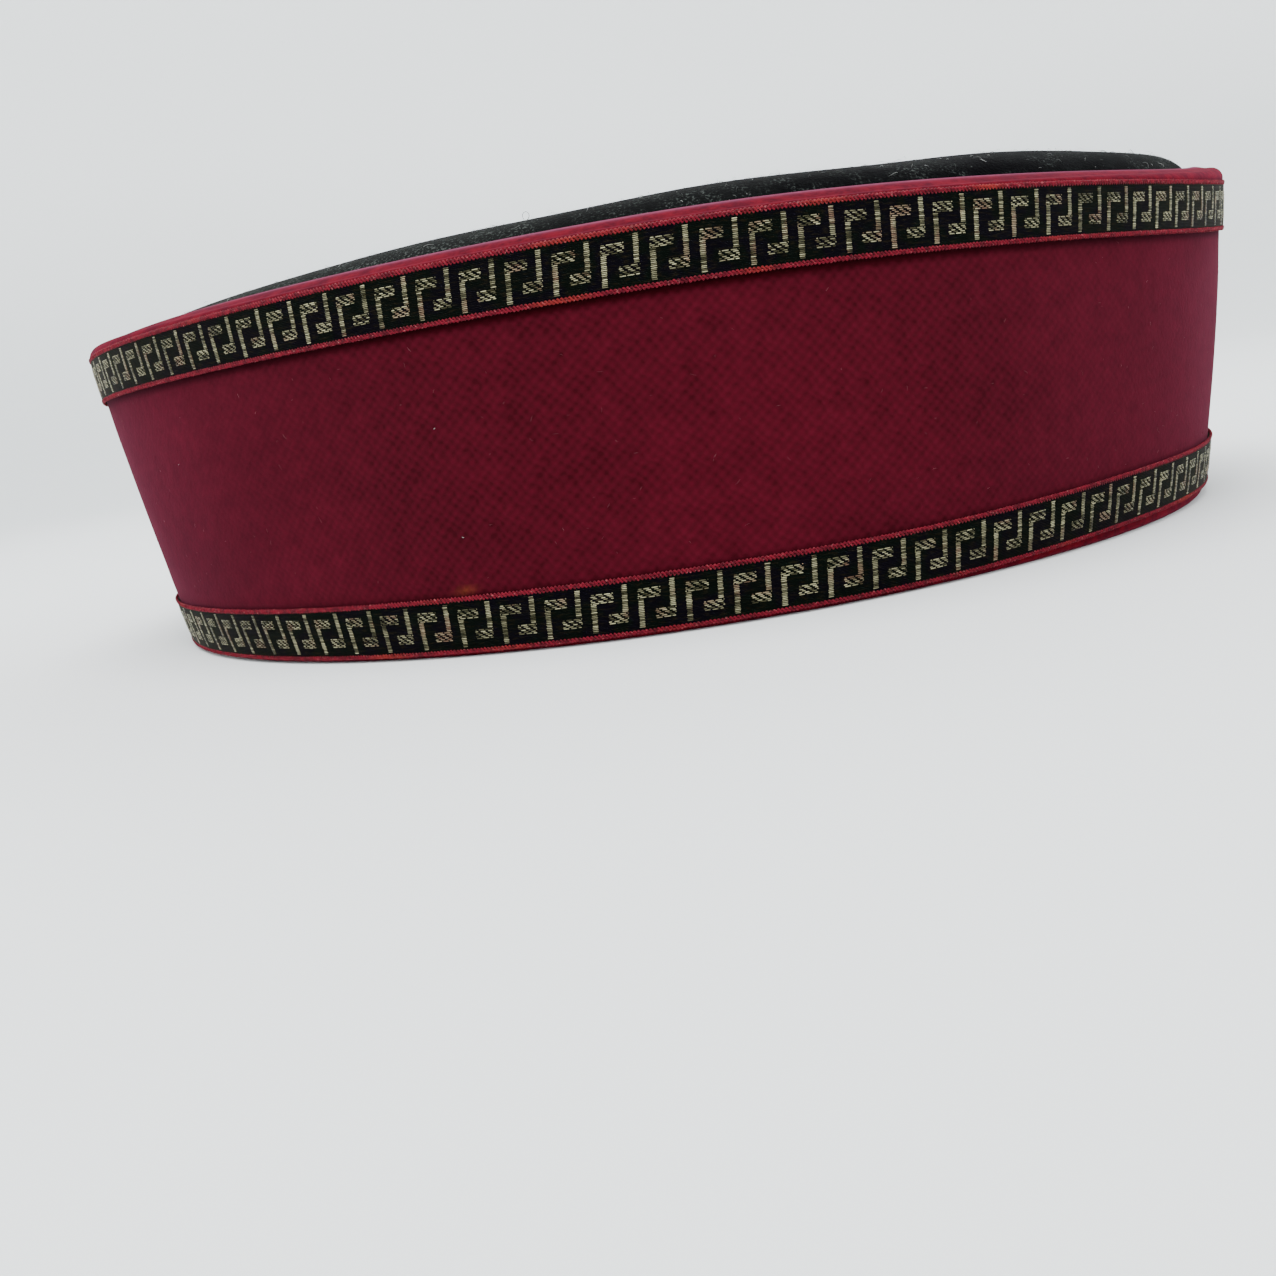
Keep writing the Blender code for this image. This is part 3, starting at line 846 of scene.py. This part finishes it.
def crownHairs():
    # Each long hair is an arc of a standing circle, which drifts along as it turns
    share = np.linspace(0, 1, hair["rings"])
    middles, outs = [], []
    for curl in curls:
        root = domePoint(np.radians([curl["facing"]]), np.array([curl["share"]]))[0]
        turn = math.radians(curl["sweep"]) * share
        along = curl["round"] * np.sin(turn) + curl["drift"] * share
        rise = curl["round"] * (1 - np.cos(turn))
        middles.append(root + np.stack([along, hair["lean"] * along, rise], axis=-1))
        outs.append(np.stack([np.sin(turn), 0 * turn, -np.cos(turn)], axis=-1))
    cos, sin = np.cos(threeSides)[:, None], np.sin(threeSides)[:, None]
    around = np.array(outs)[:, :, None] * cos + np.array([0, 1, 0]) * sin
    points = np.array(middles)[:, :, None] + around * hair["radius"]
    piece = makePiece("crown_hairs", points, strandFaces(len(curls), hair["rings"]), lint)
    giveShare(piece, "tone", np.repeat([curl["tone"] for curl in curls], hair["rings"] * len(threeSides)))


crownFibres()
crownHairs()
wallFibres()


# Floor that turns up into a backdrop all round, soft lights and the camera

room = {
    "middle": 0.05, "flat": 1.1, "turn": 0.8, "height": 1.9, "flatRings": 7, "turnRings": 13, "columns": 96,
    "tone": (0.86, 0.885, 0.89), "dimmer": 0.94, "cloudScale": 1.6,
    "glow": 0.55, "glowTone": (0.97, 1.0, 1.0), "glowFull": 0.5,
}


def paperFinish():
    # Pale paper with slow clouds, which glows more the higher it stands
    paper = Finish("pale backdrop", Roughness=0.9, Specular_IOR_Level=0.1)
    soft = paper.noise(paper.objectPlace(), room["cloudScale"], 2.0)
    high = paper.node("SeparateXYZ", {}, {0: paper.objectPlace()}, 2)
    glow = paper.blend(paper.step(high, 0.0, room["glowFull"]), (0.0, 0.0, 0.0), room["glowTone"])
    color = paper.blend(soft, room["tone"], tuple(room["dimmer"] * part for part in room["tone"]))
    return paper.paint(Base_Color=color, Emission_Color=glow, Emission_Strength=room["glow"])


def makeRoom():
    # A flat disc whose rim turns up in a quarter circle and goes on straight
    quarter = np.linspace(0, math.pi / 2, room["turnRings"])
    radii = np.concatenate([np.linspace(room["middle"], room["flat"], room["flatRings"] + 1)[:-1],
                            room["flat"] + room["turn"] * np.sin(quarter), [room["flat"] + room["turn"]]])
    levels = np.concatenate([np.zeros(room["flatRings"]), room["turn"] * (1 - np.cos(quarter)),
                             [room["height"]]])
    facing = np.linspace(0, 2 * math.pi, room["columns"], endpoint=False)
    points = np.stack([radii[:, None] * np.cos(facing), radii[:, None] * np.sin(facing),
                       np.broadcast_to(levels[:, None], (len(radii), len(facing)))], axis=-1)
    points = np.concatenate([points.reshape(-1, 3), [[0, 0, 0]]])
    first = np.arange(len(facing))
    disc = np.stack([np.full(len(facing), len(points) - 1), first, np.roll(first, -1)], axis=-1)
    bands = gridFaces(len(radii), len(facing), False, True)
    mesh = bpy.data.meshes.new("floor")
    mesh.from_pydata(points.tolist(), [], bands.tolist() + disc.tolist())
    mesh.shade_smooth()
    mesh.materials.append(paperFinish())
    floor = bpy.data.objects.new("floor", mesh)
    bpy.context.scene.collection.objects.link(floor)


def addLight(name, place, size, power):
    # A round soft light that faces the middle of the cap
    light = bpy.data.lights.new(name, "AREA")
    light.shape, light.size, light.energy = "DISK", size, power
    lamp = bpy.data.objects.new(name, light)
    bpy.context.scene.collection.objects.link(lamp)
    lamp.location = place
    towards = np.array([0.0, 0.0, 0.03]) - np.array(place)
    lamp.rotation_mode = "QUATERNION"
    lamp.rotation_quaternion = Vector(towards).to_track_quat("-Z", "Y")


def makeCamera():
    # The camera's right, down and forward directions come from its turn, its pitch down and its roll
    view = {"place": (-0.00791, -0.25559, 0.03150), "turn": -1.0156, "pitch": 10.865, "roll": -8.9013,
            "focal": 1241.0, "image": 1276.0}
    turn, pitch, roll = (math.radians(view[word]) for word in ("turn", "pitch", "roll"))
    forward = np.array([math.sin(turn) * math.cos(pitch), math.cos(turn) * math.cos(pitch), -math.sin(pitch)])
    level = np.array([math.cos(turn), -math.sin(turn), 0.0])
    down = np.cross(forward, level)
    right = level * math.cos(roll) - down * math.sin(roll)
    down = level * math.sin(roll) + down * math.cos(roll)
    data = bpy.data.cameras.new("camera")
    data.sensor_width, data.lens = 36.0, 36.0 * view["focal"] / view["image"]
    data.clip_start, data.clip_end = 0.01, 20.0
    camera = bpy.data.objects.new("camera", data)
    bpy.context.scene.collection.objects.link(camera)
    axes = np.column_stack([right, -down, -forward])
    camera.matrix_world = Matrix.Translation(view["place"]) @ Matrix(axes.tolist()).to_4x4()
    bpy.context.scene.camera = camera


makeRoom()
addLight("overhead", (-0.15, -0.20, 1.25), 1.3, 27.0)
addLight("front", (0.35, -1.25, 0.75), 1.0, 6.0)
addLight("back", (0.2, 1.0, 0.9), 1.0, 7.0)
makeCamera()
sky = bpy.data.worlds.new("soft sky")
sky.use_nodes = True
sky.node_tree.nodes["Background"].inputs["Color"].default_value = (0.93, 0.96, 1.0, 1.0)
sky.node_tree.nodes["Background"].inputs["Strength"].default_value = 0.7
bpy.context.scene.world = sky
print("room, lights and camera made")
